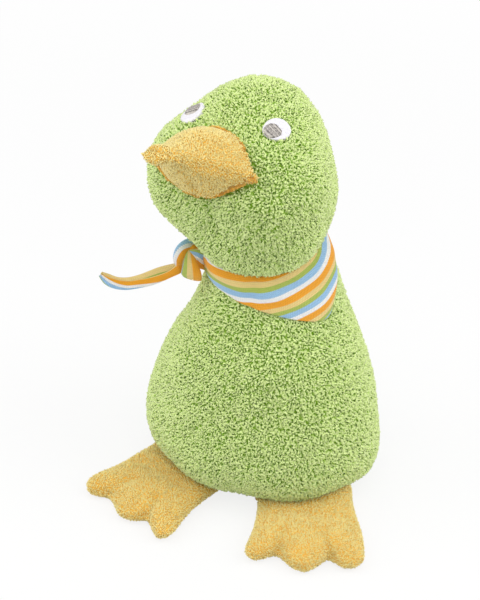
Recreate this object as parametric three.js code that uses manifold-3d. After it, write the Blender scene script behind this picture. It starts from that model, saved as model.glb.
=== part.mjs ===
// A stuffed terry-cloth duck that sits on its flat base, with a beak, two webbed
// feet and a striped neckerchief knotted at one side of its neck.
// Millimetres, +Z up. The duck faces -Y, and its own left is +X.
// The origin lies on the floor under the middle of the body.
import * as THREE from 'three';
import { mergeVertices } from 'three/addons/utils/BufferGeometryUtils.js';
import Module from 'manifold-3d';

const wasm = await Module();
wasm.setup();

// Cloth and clearances.
const seamGap = 0.3;
const fillingGap = 1.5;
const terryThickness = 2.4;
const embroideryThickness = 0.7;

// Body: half widths and heights of the pear shape, and how deep it is for its width.
const baseHalfWidth = 32;
const bellyHalfWidth = 72;
const bellyHeight = 33;
const neckHalfWidth = 37;
const neckHeight = 140;
const collarHalfWidth = 30;
const bellyDepthShare = 0.86;
const depthBlendStartShare = 0.43;
const depthBlendEndShare = 0.79;
const bellyHandleShare = 0.3;
const neckHandleShare = 0.334;
const neckSlopeDegrees = 69;

// Head: a skin drawn over four balls, round the middle of the largest one.
const headLift = 42.6;
const headSideLean = -12;
const headForwardLean = 3.3;
const jowlRadius = 45;
const crownRadius = 38.3;
const crownForward = 11.5;
const crownRise = 24.5;
const crownAside = -1.9;
const cheekRadius = 32.2;
const cheekForward = 25.6;
const cheekRise = 4.2;
const cheekSpread = 19.9;
const headTurnDegrees = 18.85;
const headPitchDegrees = 34.6;
const headRollDegrees = 6.8;
const gussetHalfWidth = 15;
const chinSeamDegrees = -109;
const neckPlugRadius = 18;
const neckPlugDepth = 14;

// Beak: its reach from the middle of the head and its size at the mouth corners. Its tip
// droops and bends a little to the duck's right.
const beakReach = 102;
const beakRoot = 44;
const beakHalfWidth = 34;
const beakRise = 22.5;
const beakDrop = 15;
const beakSeamRise = 1.4;
const beakDroop = 4.9;
const beakBend = 5;
const beakCloth = 2.2;

// Eyes: embroidered ovals, white with a darker pupil, each set by hand.
const eyeLength = 15.6;
const eyeHeight = 13;
const pupilLength = 10.2;
const pupilHeight = 9.2;
const eyeTiltDegrees = -18;
const leftEye = { side: 1, sideDegrees: 26.7, riseDegrees: 36, pupilShift: 2.6 };
const rightEye = { side: -1, sideDegrees: 23.5, riseDegrees: 32.3, pupilShift: 0.4 };

// Feet: flat stuffed pads with three toes, sewn in under the belly.
const footLength = 61;
const footWidth = 64;
const footThickness = 14;
const footRimHeight = 6;
const footSetBack = 41;
const footSetOut = 19.5;
const footSplayDegrees = 23;
const footCloth = 2.2;
const footHingeHeight = 15;
const footHingeForward = 17;
const footDroopDegrees = 6;

// Neckerchief: a triangle of striped jersey folded into a band, knotted at the duck's right.
const bandEase = 0.5;
const bandSlack = 8;
const bandChinRoom = 2.6;
const bandTurnDegrees = 20;
const bandThickness = 3.6;
const bandEdgeShare = 0.4;
const bandFoldDepth = 0.5;
const bandFolds = 3;
const bandLowerAboveNeck = 1;
const bandLowerTilt = 4.2;
const bandTiltDegrees = 20;
const bandUpperAboveNeck = 18.5;
const bandPointDrop = 15.3;
const bandPointDegrees = -32;
const bandPointSpreadDegrees = 52;
const bandPointEndDegrees = 24;
const knotRadius = 10.5;
const knotDegrees = -155;
const knotReach = 49.6;
const knotAboveNeck = 10;
const tailLength = 47;
const tailDegrees = -145;
const tailWidth = 9;
const tailThickness = 3;
const shortTailDegrees = 48;
const shortTailDroop = 12;
const shortTailFlare = 4;

const radians = THREE.MathUtils.degToRad;
const smooth = (x) => THREE.MathUtils.smoothstep(x, 0, 1);
const vector = (x, y, z) => new THREE.Vector3(x, y, z);

// Places that follow from the sizes.
const headHeight = neckHeight + headLift;
const headCentre = vector(headSideLean, -headForwardLean, headHeight);
const dishRadius = jowlRadius + seamGap;
const collarTop = headHeight - jowlRadius / 2;

// Meshes made from rings and grids of points

// One closed body from points and triangles: like points become one, empty triangles go,
// and all faces are turned outwards.
function closedGeometry(points, triangles) {
  const places = new Map();
  const positions = [];
  const number = points.map((point) => {
    const key = [point.x, point.y, point.z].map((value) => value.toFixed(4)).join();
    if (!places.has(key)) {
      places.set(key, positions.length / 3);
      positions.push(point.x, point.y, point.z);
    }
    return places.get(key);
  });
  const index = [];
  let volume = 0;
  for (const triangle of triangles) {
    const [a, b, c] = triangle.map((corner) => number[corner]);
    if (a === b || b === c || c === a) continue;
    index.push(a, b, c);
    const [p, q, r] = [a, b, c].map((corner) => vector().fromArray(positions, corner * 3));
    volume += p.dot(q.cross(r));
  }
  if (volume < 0) index.reverse();
  const geometry = new THREE.BufferGeometry();
  geometry.setAttribute('position', new THREE.Float32BufferAttribute(positions, 3));
  geometry.setIndex(index);
  return geometry;
}

// The quads between two rows of corner numbers.
function joinRows(triangles, low, high, closed) {
  const count = closed ? low.length : low.length - 1;
  for (let i = 0; i < count; i += 1) {
    const next = (i + 1) % low.length;
    triangles.push([low[i], low[next], high[next]], [low[i], high[next], high[i]]);
  }
}

// A closed skin through rings of points, with a fan over each end.
function loft(rings) {
  const points = rings.flat();
  const size = rings[0].length;
  const triangles = [];
  const row = (ring) => Array.from({ length: size }, (_, i) => ring * size + i);
  for (let ring = 0; ring + 1 < rings.length; ring += 1) joinRows(triangles, row(ring), row(ring + 1), true);
  for (const ring of [0, rings.length - 1]) {
    const middle = rings[ring].reduce((sum, point) => sum.add(point), vector()).divideScalar(size);
    points.push(middle);
    const fan = row(ring).map((corner, i, all) => [points.length - 1, all[(i + 1) % size], corner]);
    triangles.push(...(ring === 0 ? fan : fan.map(([a, b, c]) => [a, c, b])));
  }
  return closedGeometry(points, triangles);
}

// A piece of cloth with a thickness: an outer and an inner grid of points, joined round their edge.
function clothPanel(outer, inner) {
  const rows = outer.length;
  const columns = outer[0].length;
  const at = (layer, i, j) => (layer * rows + i) * columns + j;
  const row = (layer, i) => Array.from({ length: columns }, (_, j) => at(layer, i, j));
  const column = (layer, j) => Array.from({ length: rows }, (_, i) => at(layer, i, j));
  const triangles = [];
  for (let i = 0; i + 1 < rows; i += 1) {
    joinRows(triangles, row(0, i), row(0, i + 1), false);
    joinRows(triangles, row(1, i + 1), row(1, i), false);
  }
  joinRows(triangles, row(1, 0), row(0, 0), false);
  joinRows(triangles, row(0, rows - 1), row(1, rows - 1), false);
  joinRows(triangles, column(0, 0), column(1, 0), false);
  joinRows(triangles, column(1, columns - 1), column(0, columns - 1), false);
  return closedGeometry([...outer.flat(), ...inner.flat()], triangles);
}

// A bowl of cloth: rings from the pole to the rim outside, and back to the pole inside.
const clothBowl = (outer, inner) => loft([...outer, ...inner.slice().reverse()]);

// A closed tube of sections round a loop.
function hoop(sections) {
  const size = sections[0].length;
  const triangles = [];
  const row = (section) => Array.from({ length: size }, (_, i) => (section % sections.length) * size + i);
  sections.forEach((_, section) => joinRows(triangles, row(section), row(section + 1), true));
  return closedGeometry(sections.flat(), triangles);
}

// Cutting one solid by others

function solidOf(geometry) {
  const bare = geometry.clone();
  bare.deleteAttribute('normal');
  bare.deleteAttribute('uv');
  const merged = bare.index && !geometry.attributes.uv ? bare : mergeVertices(bare);
  return new wasm.Manifold(new wasm.Mesh({
    numProp: 3,
    vertProperties: new Float32Array(merged.attributes.position.array),
    triVerts: new Uint32Array(merged.index.array),
  }));
}

function cut(geometry, ...cutters) {
  let solid = solidOf(geometry);
  for (const cutter of cutters) solid = solid.subtract(solidOf(cutter));
  const mesh = solid.getMesh();
  const result = new THREE.BufferGeometry();
  result.setAttribute('position', new THREE.Float32BufferAttribute(mesh.vertProperties, 3));
  result.setIndex(Array.from(mesh.triVerts));
  return result;
}

const moved = (geometry, matrix) => geometry.clone().applyMatrix4(matrix);

// Cloth and fillings

const finish = (color, roughness) => () => new THREE.MeshStandardMaterial({ color, roughness, metalness: 0 });
const greenTerry = finish(0xa9c273, 0.95);
const yellowTerry = finish(0xeccb7c, 0.95);
const filling = finish(0xf1efe8, 1);
const stripedJersey = finish(0xe9a94c, 0.9);
const whiteThread = finish(0xf4f3f1, 0.5);
const greyThread = finish(0x8f8780, 0.55);

function piece(name, geometry, material) {
  const mesh = new THREE.Mesh(geometry, material());
  mesh.geometry.computeVertexNormals();
  mesh.name = name;
  return mesh;
}

const duck = new THREE.Group();

// Body

// The outline from the edge of the base, out to the belly, up to the neck and into the collar.
const bodyOutline = [];
const lowerSteps = 6;
const upperSteps = 11;
const collarSteps = 3;
for (let i = 0; i <= lowerSteps; i += 1) {
  const angle = (Math.PI / 2) * (i / lowerSteps);
  const reach = baseHalfWidth + (bellyHalfWidth - baseHalfWidth) * Math.sin(angle);
  bodyOutline.push(new THREE.Vector2(reach, bellyHeight * (1 - Math.cos(angle))));
}
const neckRun = neckHeight - bellyHeight;
const slope = new THREE.Vector2(-Math.cos(radians(neckSlopeDegrees)), Math.sin(radians(neckSlopeDegrees)));
const belly = new THREE.Vector2(bellyHalfWidth, bellyHeight);
const neck = new THREE.Vector2(neckHalfWidth, neckHeight);
const upperCurve = new THREE.CubicBezierCurve(
  belly,
  new THREE.Vector2(bellyHalfWidth, bellyHeight + neckRun * bellyHandleShare),
  neck.clone().addScaledVector(slope, -neckRun * neckHandleShare),
  neck,
);
bodyOutline.push(...upperCurve.getPoints(upperSteps).slice(1));
const collarRun = collarTop - neckHeight;
const collarCurve = new THREE.QuadraticBezierCurve(
  neck,
  new THREE.Vector2(collarHalfWidth, neckHeight + collarRun / 2),
  new THREE.Vector2(collarHalfWidth, collarTop),
);
bodyOutline.push(...collarCurve.getPoints(collarSteps).slice(1));

// Each outline point's outward direction.
const bodyNormals = bodyOutline.map((_, i, all) => {
  const along = all[Math.min(i + 1, all.length - 1)].clone().sub(all[Math.max(i - 1, 0)]);
  if (i === 0) return new THREE.Vector2(0, -1);
  return new THREE.Vector2(along.y, -along.x).normalize();
});

function bodyPoint(i, angle, inset) {
  const { x: reach, y: height } = bodyOutline[i].clone().addScaledVector(bodyNormals[i], -inset);
  const blend = (height / neckHeight - depthBlendStartShare) / (depthBlendEndShare - depthBlendStartShare);
  const depth = bellyDepthShare + (1 - bellyDepthShare) * smooth(blend);
  const lean = smooth((bodyOutline[i].y - neckHeight) / collarRun);
  return vector(
    reach * Math.cos(angle) + headSideLean * lean,
    reach * depth * Math.sin(angle) - headForwardLean * lean,
    height,
  );
}

// The half width of the body at a height, above the belly.
function bodyReach(height) {
  const next = bodyOutline.findIndex((point, i) => i > lowerSteps && point.y >= height);
  const [low, high] = [bodyOutline[next - 1], bodyOutline[next]];
  return THREE.MathUtils.mapLinear(height, low.y, high.y, low.x, high.x);
}

function bodyForm(inset, segments) {
  const rings = bodyOutline.map((_, i) => Array.from(
    { length: segments },
    (__, j) => bodyPoint(i, (j / segments) * 2 * Math.PI, inset),
  ));
  return loft(rings);
}

const headBall = (radius, widthSegments = 40, heightSegments = 24) => new THREE.SphereGeometry(
  radius,
  widthSegments,
  heightSegments,
).translate(...headCentre.toArray());

const bodyHalfSegments = 14;
const dish = headBall(dishRadius);
for (const [name, side] of [['body_panel_left', 0], ['body_panel_right', Math.PI]]) {
  const grid = (inset) => bodyOutline.map((point, i) => {
    const edge = seamGap / 2 / Math.max(point.x - inset, collarHalfWidth / 2);
    return Array.from({ length: bodyHalfSegments + 1 }, (_, j) => {
      const share = j / bodyHalfSegments - 0.5;
      return bodyPoint(i, side + share * (Math.PI - 2 * edge), inset);
    });
  });
  duck.add(piece(name, cut(clothPanel(grid(0), grid(terryThickness)), dish), greenTerry));
}

const baseSegments = 36;
const baseRing = (inset, height) => Array.from({ length: baseSegments }, (_, j) => {
  const angle = (j / baseSegments) * 2 * Math.PI;
  const reach = baseHalfWidth - inset;
  return vector(reach * Math.cos(angle), reach * bellyDepthShare * Math.sin(angle), height);
});
const basePanel = loft([baseRing(2 * seamGap, 0), baseRing(2 * seamGap, terryThickness)]);
duck.add(piece('base_panel', basePanel, greenTerry));

// The filling has a round seat at its top for the stuffed neck.
const plugBottom = headHeight - dishRadius - neckPlugDepth;
const plugSegments = 24;
const plugSeat = new THREE.CylinderGeometry(
  neckPlugRadius + seamGap,
  neckPlugRadius + seamGap,
  neckPlugDepth + dishRadius,
  plugSegments,
);
plugSeat.rotateX(Math.PI / 2).translate(headCentre.x, headCentre.y, plugBottom - seamGap
  + (neckPlugDepth + dishRadius) / 2);
const bodyFilling = cut(bodyForm(terryThickness + fillingGap, 2 * bodyHalfSegments), dish, plugSeat);
duck.add(piece('body_filling', bodyFilling, filling));

// The neck is a stuffed plug whose hollow top carries the head.
const plugSteps = 6;
const plugOutline = [new THREE.Vector2(0, plugBottom), new THREE.Vector2(neckPlugRadius, plugBottom)];
for (let i = 0; i <= plugSteps; i += 1) {
  const reach = neckPlugRadius * (1 - i / plugSteps);
  plugOutline.push(new THREE.Vector2(reach, headHeight - Math.sqrt(dishRadius ** 2 - reach ** 2)));
}
const plug = new THREE.LatheGeometry(plugOutline, plugSegments).rotateX(Math.PI / 2);
plug.translate(headCentre.x, headCentre.y, 0);
duck.add(piece('neck_filling', cut(plug), filling));

// Head, in its own axes: x to the duck's left, -y forward along the beak, z up

const headBalls = [
  { middle: vector(0, 0, 0), radius: jowlRadius },
  { middle: vector(crownAside, -crownForward, crownRise), radius: crownRadius },
  { middle: vector(cheekSpread, -cheekForward, cheekRise), radius: cheekRadius },
  { middle: vector(-cheekSpread, -cheekForward, cheekRise), radius: cheekRadius },
];

// The skin over the four balls is the hull of many balls between them.
const ballSteps = 6;
const skinBalls = [];
for (let i = 0; i <= ballSteps; i += 1) {
  for (let j = 0; j <= ballSteps - i; j += 1) {
    for (let k = 0; k <= ballSteps - i - j; k += 1) {
      const shares = [ballSteps - i - j - k, i, j, k].map((count) => count / ballSteps);
      const middle = vector();
      shares.forEach((share, ball) => middle.addScaledVector(headBalls[ball].middle, share));
      const radius = shares.reduce((sum, share, ball) => sum + share * headBalls[ball].radius, 0);
      skinBalls.push({ middle, radius, slack: radius ** 2 - middle.lengthSq() });
    }
  }
}

// How far the skin lies from the head's middle, in one direction.
const headReach = (direction) => skinBalls.reduce((reach, { middle, slack }) => {
  const along = direction.dot(middle);
  const inside = along ** 2 + slack;
  return inside > 0 ? Math.max(reach, along + Math.sqrt(inside)) : reach;
}, 0);

// A point of the head: turned in the middle plane from the beak's line, then out to the side.
const headDirection = (turn, side) => vector(
  Math.sin(side),
  -Math.cos(side) * Math.cos(turn),
  Math.cos(side) * Math.sin(turn),
);
function headPoint(turn, side, inset) {
  const direction = headDirection(turn, side);
  return direction.multiplyScalar(headReach(direction) - inset);
}
const gussetEdge = (turn, inset) => Math.asin(inset / headReach(headDirection(turn, 0)));

const head = new THREE.Group();
head.position.copy(headCentre);
head.rotation.set(-radians(headPitchDegrees), -radians(headRollDegrees), -radians(headTurnDegrees), 'ZXY');
duck.add(head);

// The two cheeks are bowls on either side of the gusset.
const cheekSegments = 26;
const cheekRings = 6;
for (const [name, side] of [['head_side_left', 1], ['head_side_right', -1]]) {
  const rings = (inset) => Array.from({ length: cheekRings }, (_, i) => Array.from(
    { length: cheekSegments },
    (__, j) => {
      const turn = (j / cheekSegments) * 2 * Math.PI;
      const rim = gussetEdge(turn, gussetHalfWidth + seamGap / 2);
      const share = (i + 0.5) / (cheekRings - 0.5);
      return headPoint(turn, side * (Math.PI / 2 + (rim - Math.PI / 2) * share), inset);
    },
  ));
  head.add(piece(name, clothBowl(rings(0), rings(terryThickness)), greenTerry));
}

// The gusset runs in two lengths between the cheeks: over the crown, and under the chin.
const gussetColumns = 4;
const seamTurn = seamGap / 2 / jowlRadius;
const gussets = [
  ['head_gusset_crown', 0, 360 + chinSeamDegrees, 18],
  ['head_gusset_chin', chinSeamDegrees, 0, 10],
];
for (const [name, start, end, steps] of gussets) {
  const grid = (inset) => Array.from({ length: steps + 1 }, (_, i) => {
    const turn = THREE.MathUtils.lerp(radians(start) + seamTurn, radians(end) - seamTurn, i / steps);
    const rim = gussetEdge(turn, gussetHalfWidth - seamGap / 2);
    return Array.from({ length: gussetColumns + 1 }, (__, j) => headPoint(
      turn,
      rim * ((2 * j) / gussetColumns - 1),
      inset,
    ));
  });
  head.add(piece(name, clothPanel(grid(0), grid(terryThickness)), greenTerry));
}

function headForm(inset, segments, steps) {
  const rings = Array.from({ length: steps }, (_, i) => Array.from({ length: segments }, (__, j) => headPoint(
    (j / segments) * 2 * Math.PI,
    Math.PI * ((i + 0.5) / steps - 0.5),
    inset,
  )));
  return loft(rings);
}
head.add(piece('head_filling', headForm(terryThickness + fillingGap, 24, 12), filling));

// Beak: sections across its line, wide at the mouth corners and blunt at the tip

// Shares of the half width, rise and drop at the mouth corners, at even steps to the tip.
const beakWidthShares = [1, 1, 0.95, 0.82, 0.71, 0.6, 0.475, 0.355, 0.26, 0.18, 0.125];
const beakRiseShares = [1, 1, 0.985, 0.925, 0.845, 0.74, 0.56, 0.385, 0.26, 0.18, 0.14];
const beakDropShares = [1, 1, 0.96, 0.86, 0.765, 0.675, 0.58, 0.475, 0.355, 0.255, 0.175];
const beakSections = beakWidthShares.length;
const beakTipShare = 0.98;
const beakEdgePower = 1.5;

// The middle of the beak's seam, which droops and bends towards the tip.
function beakMiddle(along) {
  const share = ((along - beakRoot) / (beakReach - beakRoot)) ** 3;
  return vector(-beakBend * share, -along, beakSeamRise - beakDroop * share);
}

// One point of the beak's skin: an angle of 0 is the duck's left seam, 90 the top. The two
// panels meet in a sharp edge.
function beakPoint(section, angle, inset) {
  if (section === beakSections) return beakMiddle(beakReach - inset);
  const share = (section / (beakSections - 1)) * beakTipShare;
  const along = THREE.MathUtils.lerp(beakRoot, beakReach - inset, share);
  const upper = Math.sin(angle) > 0;
  const height = upper ? beakRise * beakRiseShares[section] : beakDrop * beakDropShares[section];
  const thinner = (size) => Math.max(size - inset, size / 8);
  return beakMiddle(along).add(vector(
    thinner(beakHalfWidth * beakWidthShares[section]) * Math.cos(angle),
    0,
    thinner(height) * Math.sign(Math.sin(angle)) * Math.abs(Math.sin(angle)) ** beakEdgePower,
  ));
}

const beakColumns = 10;
const beakBed = headForm(-2 * seamGap, 48, 24);
for (const [name, side] of [['beak_upper', 1], ['beak_lower', -1]]) {
  const grid = (inset) => Array.from({ length: beakSections + 1 }, (_, i) => Array.from(
    { length: beakColumns + 1 },
    (__, j) => beakPoint(i, (side * Math.PI * j) / beakColumns, inset).add(vector(0, 0, (side * seamGap) / 2)),
  ));
  head.add(piece(name, cut(clothPanel(grid(0), grid(beakCloth)), beakBed), yellowTerry));
}
const beakRings = Array.from({ length: beakSections }, (_, i) => Array.from(
  { length: 2 * beakColumns },
  (__, j) => beakPoint(i, (Math.PI * j) / beakColumns, beakCloth + fillingGap),
));
head.add(piece('beak_filling', cut(loft(beakRings), beakBed), filling));

// Eyes: padded ovals of satin stitch, laid on the cheeks

const eyeSegments = 16;
function eyePad({ side, sideDegrees, riseDegrees }, length, height, shift, lift) {
  const middle = headDirection(radians(riseDegrees), side * radians(sideDegrees));
  const forward = vector(0, -Math.cos(radians(eyeTiltDegrees)), Math.sin(radians(eyeTiltDegrees)));
  forward.addScaledVector(middle, -forward.dot(middle)).normalize();
  const across = forward.clone().cross(middle);
  const reach = headReach(middle);
  const ring = (share, raise) => Array.from({ length: eyeSegments }, (_, j) => {
    const angle = (j / eyeSegments) * 2 * Math.PI;
    const direction = middle.clone().multiplyScalar(reach)
      .addScaledVector(forward, shift + (length / 2) * share * Math.cos(angle))
      .addScaledVector(across, (height / 2) * share * Math.sin(angle)).normalize();
    return direction.multiplyScalar(headReach(direction) + seamGap + raise);
  });
  const shares = [0.55, 1];
  const pad = (raise) => shares.map((share) => ring(share, raise));
  return clothBowl(pad(lift + embroideryThickness), pad(lift));
}
const pupilLift = embroideryThickness + seamGap;
for (const [name, eye] of [['left', leftEye], ['right', rightEye]]) {
  const white = eyePad(eye, eyeLength, eyeHeight, 0, 0);
  const pupil = eyePad(eye, pupilLength, pupilHeight, eye.pupilShift, pupilLift);
  head.add(piece(`eye_white_${name}`, white, whiteThread));
  head.add(piece(`pupil_${name}`, pupil, greyThread));
}

// Feet, each in its own axes: x to the outside, -y towards the toes, from the middle of the seam

// The outline as shares of the foot's width and length, from the inner end of the seam
// round the three toes to the outer end.
const footOutlineShares = [
  [-0.36, 0.1], [-0.39, -0.22], [-0.43, -0.5], [-0.49, -0.8], [-0.45, -0.92], [-0.36, -0.93],
  [-0.24, -0.885], [-0.13, -0.95], [-0.04, -1], [0.06, -0.96], [0.17, -0.9], [0.27, -0.95],
  [0.37, -0.97], [0.46, -0.93], [0.5, -0.84], [0.505, -0.5], [0.51, -0.2], [0.5, 0.1],
];
const footSegments = 34;
const footOutline = new THREE.CatmullRomCurve3(
  footOutlineShares.map(([across, along]) => vector(across * footWidth, along * footLength, 0)),
  true,
  'centripetal',
).getSpacedPoints(footSegments).slice(0, footSegments);
const footMiddle = vector(footWidth * 0.03, -footLength * 0.48, 0);
const footRingShares = [0.3, 0.65, 0.86, 0.96, 1];
const waddingRingShares = [0.5, 0.88, 1];

// The top and the sole of one foot as rings from its middle to its rim.
function footRings(side, upper, inset, settle, ringShares = footRingShares) {
  return ringShares.map((share) => footOutline.map((point) => {
    const reach = point.distanceTo(footMiddle);
    const place = footMiddle.clone().lerp(point, share * (1 - inset / reach));
    const swell = upper ? Math.sqrt(1 - share ** 3) : Math.sqrt(1 - share ** 8);
    const full = upper ? footThickness - footRimHeight : -footRimHeight;
    const room = Math.sign(full) * Math.max(Math.abs(full) - inset, 0);
    return vector(side * place.x, place.y, footRimHeight + room * swell + settle);
  }));
}

// A foot is cut to the body as it hangs: level, and drooped a little about the crease above it.
const bodyCutter = bodyForm(-seamGap, 2 * bodyHalfSegments);
const droopSteps = 2;
for (const [name, side] of [['left', 1], ['right', -1]]) {
  const foot = new THREE.Group();
  const splay = side * radians(footSplayDegrees);
  foot.rotation.z = splay;
  foot.position.set(footSetOut * side, 0, 0).applyAxisAngle(vector(0, 0, 1), splay);
  foot.position.add(vector(0, -footSetBack, 0).applyAxisAngle(vector(0, 0, 1), splay));
  foot.updateMatrixWorld();
  const level = moved(bodyCutter, foot.matrixWorld.clone().invert());
  const cutters = Array.from({ length: droopSteps + 1 }, (_, i) => {
    const droop = (radians(footDroopDegrees) * i) / droopSteps;
    return level.clone().translate(0, footHingeForward, -footHingeHeight).rotateX(-droop)
      .translate(0, -footHingeForward, footHingeHeight);
  });
  const half = seamGap / 2;
  const top = clothBowl(footRings(side, true, 0, half), footRings(side, true, footCloth, half));
  const sole = clothBowl(footRings(side, false, 0, 0), footRings(side, false, footCloth, 0));
  const inset = footCloth + fillingGap;
  const wadding = clothBowl(...[true, false].map(
    (upper) => footRings(side, upper, inset, 0, waddingRingShares),
  ));
  foot.add(piece(`${name}_foot_top`, cut(top, ...cutters), yellowTerry));
  foot.add(piece(`${name}_foot_sole`, cut(sole, ...cutters), yellowTerry));
  foot.add(piece(`${name}_foot_wadding`, cut(wadding, ...cutters), filling));
  duck.add(foot);
}

// Neckerchief: its places are angles round the neck, from the duck's left towards its back

const bandStations = 36;
const bandOuterSteps = 8;
const bandInnerSteps = 6;
const bell = (angle, middle, spread) => {
  const away = THREE.MathUtils.euclideanModulo(angle - middle + Math.PI, 2 * Math.PI) - Math.PI;
  return Math.exp(-((away / spread) ** 2));
};

// The band's lower edge lies lower at the knot, dips from there to the triangle's point, and
// ends soon after it.
const bandUpper = neckHeight + bandUpperAboveNeck;
function bandLower(angle) {
  const point = radians(bandPointDegrees);
  const behind = Math.sin(angle - point) > 0;
  const spread = radians(behind ? bandPointEndDegrees : bandPointSpreadDegrees);
  return neckHeight + bandLowerAboveNeck + bandLowerTilt * Math.cos(angle - radians(bandTiltDegrees))
    - bandPointDrop * bell(angle, point, spread);
}

// How far the collar reaches at an angle and a height, wherever the band is pulled round it.
const leanAngle = Math.atan2(-headForwardLean, headSideLean);
function collarReach(angle, height) {
  const reach = bodyReach(Math.min(height, collarTop));
  const lean = Math.hypot(headSideLean, headForwardLean) * smooth((height - neckHeight) / collarRun);
  const away = Math.acos(Math.cos(angle - leanAngle));
  const least = Math.max(away - radians(bandTurnDegrees), 0);
  return lean * Math.cos(least) + Math.sqrt(reach ** 2 - (lean * Math.sin(least)) ** 2);
}

// The band's inside rests on the neck and hangs slack above it.
const bandInner = (angle, height) => collarReach(angle, height) + bandEase
  + bandSlack * (Math.max(height - neckHeight, 0) / bandUpperAboveNeck) ** 2;

// How far the band's outside lies from the neck's axis, with its folds running round it.
function bandOuter(angle, height, share) {
  const body = bandThickness * THREE.MathUtils.lerp(bandEdgeShare, 1, Math.sin(Math.PI * share));
  return bandInner(angle, height) + body + bandFoldDepth * Math.sin(2 * Math.PI * bandFolds * share);
}

const onNeck = (angle, reach, height) => vector(reach * Math.cos(angle), reach * Math.sin(angle), height);
const bandForm = (room) => hoop(Array.from({ length: bandStations }, (_, i) => {
  const angle = (i / bandStations) * 2 * Math.PI;
  const heightAt = (share) => THREE.MathUtils.lerp(bandLower(angle) - room, bandUpper + room, share);
  const outside = Array.from({ length: bandOuterSteps + 1 }, (__, j) => {
    const share = j / bandOuterSteps;
    return onNeck(angle, bandOuter(angle, heightAt(share), share) + room, heightAt(share));
  });
  const inside = Array.from({ length: bandInnerSteps + 1 }, (__, j) => {
    const height = heightAt(1 - j / bandInnerSteps);
    return onNeck(angle, bandInner(angle, height) - room, height);
  });
  return [...outside, ...inside];
}));

// The head's underside, as the band meets it when it is pulled round the neck either way.
const chins = [-1, 0, 1].map((way) => headBall(jowlRadius + bandChinRoom).rotateZ(
  radians(way * bandTurnDegrees),
));
duck.add(piece('neckerchief_band', cut(bandForm(0), ...chins), stripedJersey));

// The knot is a puffed ball of cloth pressed against the band and under the cheek.
const knotAngle = radians(knotDegrees);
const knotMiddle = onNeck(knotAngle, knotReach, neckHeight + knotAboveNeck);
const knotBall = new THREE.SphereGeometry(knotRadius, 16, 12).translate(...knotMiddle.toArray());
duck.add(piece('neckerchief_knot', cut(knotBall, bandForm(seamGap), ...chins), stripedJersey));

// A tail is a folded strip that tapers from the knot along a curve.
const tailSegments = 10;
const tailSteps = 14;
const tailTipShare = 0.45;
const knotRoom = new THREE.SphereGeometry(knotRadius + seamGap, 24, 16).translate(...knotMiddle.toArray());
function tail(name, route) {
  const path = new THREE.CatmullRomCurve3(route);
  const up = vector(0, 0, 1);
  const rings = Array.from({ length: tailSteps + 1 }, (_, i) => {
    const share = i / tailSteps;
    const middle = path.getPointAt(share);
    const aside = path.getTangentAt(share).cross(up).normalize();
    const taper = THREE.MathUtils.lerp(1, tailTipShare, share);
    return Array.from({ length: tailSegments }, (__, j) => {
      const angle = (j / tailSegments) * 2 * Math.PI;
      return middle.clone().addScaledVector(up, (tailWidth / 2) * taper * Math.cos(angle))
        .addScaledVector(aside, (tailThickness / 2) * taper * Math.sin(angle));
    });
  });
  duck.add(piece(name, cut(loft(rings), knotRoom), stripedJersey));
}

// The long tail's route: along it, to its side and up, as shares of its length.
const tailRouteShares = [[0, 0, 0], [0.42, 0.13, -0.23], [0.69, 0.12, -0.27], [1, 0, -0.225]];
const tailTurn = radians(tailDegrees);
tail('neckerchief_long_tail', tailRouteShares.map(([along, aside, rise]) => vector(along, -aside, rise)
  .multiplyScalar(tailLength).applyAxisAngle(vector(0, 0, 1), tailTurn).add(knotMiddle)));

// The short tail hangs back round the neck, behind the knot.
const shortTailSteps = 4;
tail('neckerchief_short_tail', Array.from({ length: shortTailSteps + 1 }, (_, i) => {
  const share = i / shortTailSteps;
  const height = knotMiddle.z - shortTailDroop * share ** 2;
  return onNeck(knotAngle - radians(shortTailDegrees) * share, knotReach + shortTailFlare * share, height);
}));

export default duck;
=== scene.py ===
import math

import bmesh
import bpy
from mathutils import Matrix, Vector, noise
from mathutils.bvhtree import BVHTree


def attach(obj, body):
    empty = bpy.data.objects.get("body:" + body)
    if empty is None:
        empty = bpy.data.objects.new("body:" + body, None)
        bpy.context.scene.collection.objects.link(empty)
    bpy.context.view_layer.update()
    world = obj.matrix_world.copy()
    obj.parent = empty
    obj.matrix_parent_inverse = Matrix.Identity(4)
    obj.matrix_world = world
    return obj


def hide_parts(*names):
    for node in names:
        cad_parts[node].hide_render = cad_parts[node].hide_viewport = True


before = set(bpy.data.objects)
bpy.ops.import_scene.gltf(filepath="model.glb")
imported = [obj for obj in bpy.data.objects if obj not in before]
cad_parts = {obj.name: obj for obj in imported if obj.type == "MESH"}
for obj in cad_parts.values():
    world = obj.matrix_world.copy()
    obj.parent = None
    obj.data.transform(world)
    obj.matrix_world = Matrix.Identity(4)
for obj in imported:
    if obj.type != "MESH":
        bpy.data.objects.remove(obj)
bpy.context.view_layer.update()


# Camera
# The photograph looks down on the duck from its front left, a little tilted, through a
# longish lens from about 0.8 m away.
scene = bpy.context.scene
camera_turn = math.radians(17)
camera_rise = math.radians(32)
camera_roll = math.radians(4)
camera_target = Vector((0, -0.005, 0.110))
camera_distance = 0.8
back = Vector((
    math.sin(camera_turn) * math.cos(camera_rise),
    -math.cos(camera_turn) * math.cos(camera_rise),
    math.sin(camera_rise),
))
level_right = Vector((math.cos(camera_turn), math.sin(camera_turn), 0))
level_up = back.cross(level_right)
right = level_right * math.cos(camera_roll) + level_up * math.sin(camera_roll)
up = level_up * math.cos(camera_roll) - level_right * math.sin(camera_roll)
camera = bpy.data.objects.new("camera", bpy.data.cameras.new("camera"))
scene.collection.objects.link(camera)
camera.data.sensor_width = 36
camera.data.lens = 83.76
camera.data.shift_x = -0.0461
camera.data.shift_y = 0.0245
camera.data.clip_start = 0.05
camera.data.clip_end = 20
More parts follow.
